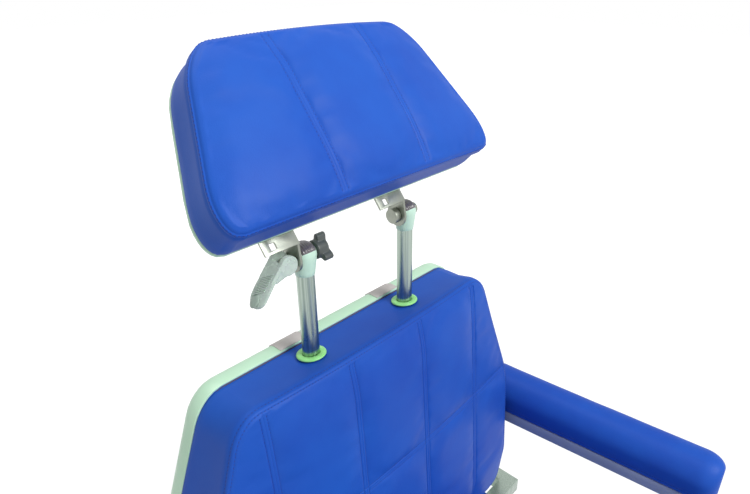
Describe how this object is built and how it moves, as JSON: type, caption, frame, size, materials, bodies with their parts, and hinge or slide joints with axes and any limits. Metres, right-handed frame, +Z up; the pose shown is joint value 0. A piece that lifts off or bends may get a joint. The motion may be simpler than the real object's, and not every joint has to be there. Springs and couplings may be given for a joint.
{
  "type": "facial bed",
  "caption": "Electric facial bed with padded seat, reclining backrest, folding legrest, tilting headrest on sliding posts, and lift-up armrests on a lifting column.",
  "frame": {"origin": "on the floor, under the centre of the bed's overall box", "axes": "+Z up; +Y from the foot end to the back of the backrest; +X to the sitter's left, so the switches and the drawn-open clamp lever are on the -X side"},
  "size_m": [0.8802, 1.235, 1.4913],
  "materials": {
    "vinyl": "soft blue upholstery vinyl with a fine grain, stitched",
    "shell_white": "moulded white with a pale green cast, satin gloss",
    "collar_green": "pale green moulded plastic",
    "plywood": "birch plywood",
    "chrome": "bright plated steel",
    "steel": "plain ground steel",
    "white_paint": "white powder coat",
    "grey_paint": "dark grey powder coat",
    "zinc": "zinc plated fasteners",
    "black_plastic": "matt black moulding",
    "grey_plastic": "mid grey moulding",
    "dark_plastic": "dark grey moulding",
    "lever_plastic": "translucent pale moulding with ribs",
    "rubber": "black rubber"
  },
  "bodies": {
    "base": {"base_frame": "grey_paint", "base_feet": "rubber", "base_cover": "shell_white", "column_outer": "white_paint", "lift_motor": "grey_plastic", "lift_tube": "steel", "control_box": "black_plastic", "power_inlet": "black_plastic", "cover_screws": "zinc"},
    "seat": {"column_inner": "white_paint", "column_glides": "grey_plastic", "lift_rod": "steel", "seat_frame": "white_paint", "seat_board": "plywood", "seat_shell": "shell_white", "seat_cushion": "vinyl", "back_actuator": "grey_plastic", "leg_actuator": "grey_plastic", "hinge_pins": "steel", "arm_posts": "chrome", "arm_pins": "zinc", "switch_plate": "dark_plastic"},
    "back_rod": {"back_rod": "steel"},
    "leg_rod": {"leg_rod": "steel"},
    "back": {"back_frame": "grey_paint", "back_board": "plywood", "back_shell": "shell_white", "back_cushion": "vinyl", "post_guides": "grey_paint", "collar_left": "collar_green", "collar_right": "collar_green", "shell_clips": "grey_plastic", "back_screws": "zinc"},
    "posts": {"post_left": "chrome", "post_right": "chrome", "clamp_left": "shell_white", "clamp_right": "shell_white", "clamp_bolts": "zinc"},
    "knob_left": {"knob_left": "dark_plastic"},
    "lever_left": {"lever_left": "lever_plastic"},
    "head": {"head_brackets": "steel", "head_board": "plywood", "head_shell": "shell_white", "head_cushion": "vinyl", "head_screws": "zinc"},
    "arm_left": {"arm_tray_left": "grey_plastic", "arm_cushion_left": "vinyl"},
    "arm_right": {"arm_tray_right": "grey_plastic", "arm_cushion_right": "vinyl"},
    "leg": {"leg_frame": "grey_paint", "leg_board": "plywood", "leg_shell": "shell_white", "leg_cushion": "vinyl"},
    "rocker_lift": {"rocker_lift": "shell_white"},
    "rocker_back": {"rocker_back": "shell_white"},
    "rocker_leg": {"rocker_leg": "shell_white"}
  },
  "joints": [
    {"name": "lift", "type": "slide", "parent": "base", "child": "seat", "axis": [0, 0, 1], "range_m": [0, 0.28]},
    {"name": "back_recline", "type": "hinge", "parent": "seat", "child": "back", "pos_m": [0, 0.4175, 0.55], "axis": [-1, 0, 0], "range_deg": [0, 85]},
    {"name": "back_rod_slide", "type": "slide", "parent": "seat", "child": "back_rod", "axis": [0, -1, 0], "range_m": [0, 0.18]},
    {"name": "leg_fold", "type": "hinge", "parent": "seat", "child": "leg", "pos_m": [0, -0.0825, 0.55], "axis": [1, 0, 0], "range_deg": [0, 80]},
    {"name": "leg_rod_slide", "type": "slide", "parent": "seat", "child": "leg_rod", "axis": [0, 1, 0], "range_m": [0, 0.17]},
    {"name": "posts_slide", "type": "slide", "parent": "back", "child": "posts", "axis": [0, 0, 1], "range_m": [-0.075, 0.04]},
    {"name": "head_tilt", "type": "hinge", "parent": "posts", "child": "head", "pos_m": [0, 0.4175, 1.253], "axis": [1, 0, 0], "range_deg": [-50, 60]},
    {"name": "lever_left_turn", "type": "hinge", "parent": "posts", "child": "lever_left", "pos_m": [-0.1178, 0.4175, 1.253], "axis": [0, 1, 0], "range_deg": [-41, 55]},
    {"name": "knob_left_turn", "type": "hinge", "parent": "posts", "child": "knob_left", "pos_m": [-0.065, 0.4175, 1.253], "axis": [1, 0, 0], "continuous": true},
    {"name": "arm_left_lift", "type": "hinge", "parent": "seat", "child": "arm_left", "pos_m": [-0.364, 0.4235, 0.732], "axis": [-1, 0, 0], "range_deg": [0, 90]},
    {"name": "arm_right_lift", "type": "hinge", "parent": "seat", "child": "arm_right", "pos_m": [0.364, 0.4235, 0.732], "axis": [-1, 0, 0], "range_deg": [0, 90]},
    {"name": "rocker_lift_press", "type": "hinge", "parent": "seat", "child": "rocker_lift", "pos_m": [-0.31, 0.2375, 0.52], "axis": [0, 1, 0], "range_deg": [-8, 8], "stiffness_Nm_per_rad": 0.4},
    {"name": "rocker_back_press", "type": "hinge", "parent": "seat", "child": "rocker_back", "pos_m": [-0.31, 0.2015, 0.52], "axis": [0, 1, 0], "range_deg": [-8, 8], "stiffness_Nm_per_rad": 0.4},
    {"name": "rocker_leg_press", "type": "hinge", "parent": "seat", "child": "rocker_leg", "pos_m": [-0.31, 0.1655, 0.52], "axis": [0, 1, 0], "range_deg": [-8, 8], "stiffness_Nm_per_rad": 0.4}
  ],
  "couplings": [
    {"joint": "back_rod_slide", "follows": "back_recline", "m_per_rad": 0.1209},
    {"joint": "leg_rod_slide", "follows": "leg_fold", "m_per_rad": 0.1209}
  ]
}
